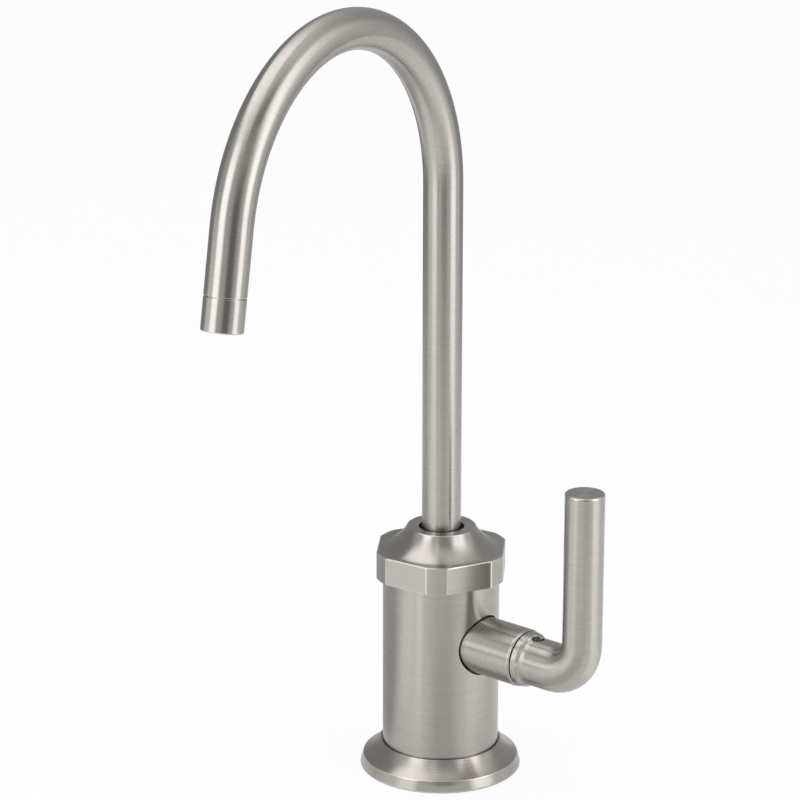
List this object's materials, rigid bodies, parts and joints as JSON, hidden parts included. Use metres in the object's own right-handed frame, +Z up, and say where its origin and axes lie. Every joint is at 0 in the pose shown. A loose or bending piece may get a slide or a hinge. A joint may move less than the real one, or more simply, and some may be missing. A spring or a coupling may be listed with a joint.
{
  "type": "cold water dispenser faucet",
  "caption": "Deck-mounted cold water faucet: round barrel with a hexagonal cap nut, swivelling gooseneck tube and an upright quarter-turn side lever.",
  "frame": {"origin": "centre of the base flange's underside, on the deck, on the barrel's axis", "axes": "+Z up along the barrel's axis, +X along the lever's stem away from the barrel, -Y towards the user"},
  "size_m": [0.0914, 0.1523, 0.3431],
  "materials": {
    "brushed_nickel": "satin brushed nickel plate, warm grey, brush lines round each turned piece",
    "brass": "machined brass",
    "rubber": "black moulded rubber",
    "stainless_steel": "plain stainless steel",
    "acetal": "white turned plastic",
    "grey_plastic": "grey moulded plastic",
    "ceramic": "lapped white ceramic"
  },
  "bodies": {
    "faucet_body": {"base_flange": "brushed_nickel", "base_gasket": "rubber", "barrel_sleeve": "brushed_nickel", "valve_body": "brass", "mounting_shank": "brass", "rubber_washer": "rubber", "metal_washer": "stainless_steel", "lock_nut": "brass", "inlet_gasket": "rubber", "inlet_fitting": "brass", "cap_nut": "brushed_nickel", "swivel_washer": "acetal", "swivel_bearing": "acetal", "bonnet": "brushed_nickel", "cartridge_housing": "brass", "cartridge_seal": "rubber", "fixed_disc": "ceramic"},
    "spout": {"spout_foot": "brass", "spout_o_rings": "rubber", "spout_tube": "brushed_nickel", "outlet_collar": "brushed_nickel", "aerator_gasket": "rubber", "aerator_housing": "grey_plastic", "flow_straightener": "grey_plastic", "aerator_screen": "stainless_steel"},
    "handle": {"moving_disc": "ceramic", "cartridge_stem": "brass", "stem_o_rings": "rubber", "stem_circlip": "stainless_steel", "lever_handle": "brushed_nickel", "lever_set_screw": "stainless_steel"}
  },
  "joints": [
    {"name": "spout_swivel", "type": "hinge", "parent": "faucet_body", "child": "spout", "pos_m": [0, 0, 0], "axis": [0, 0, 1], "continuous": true},
    {"name": "handle_turn", "type": "hinge", "parent": "faucet_body", "child": "handle", "pos_m": [0, 0, 0.0464], "axis": [1, 0, 0], "range_deg": [0, 90]}
  ]
}
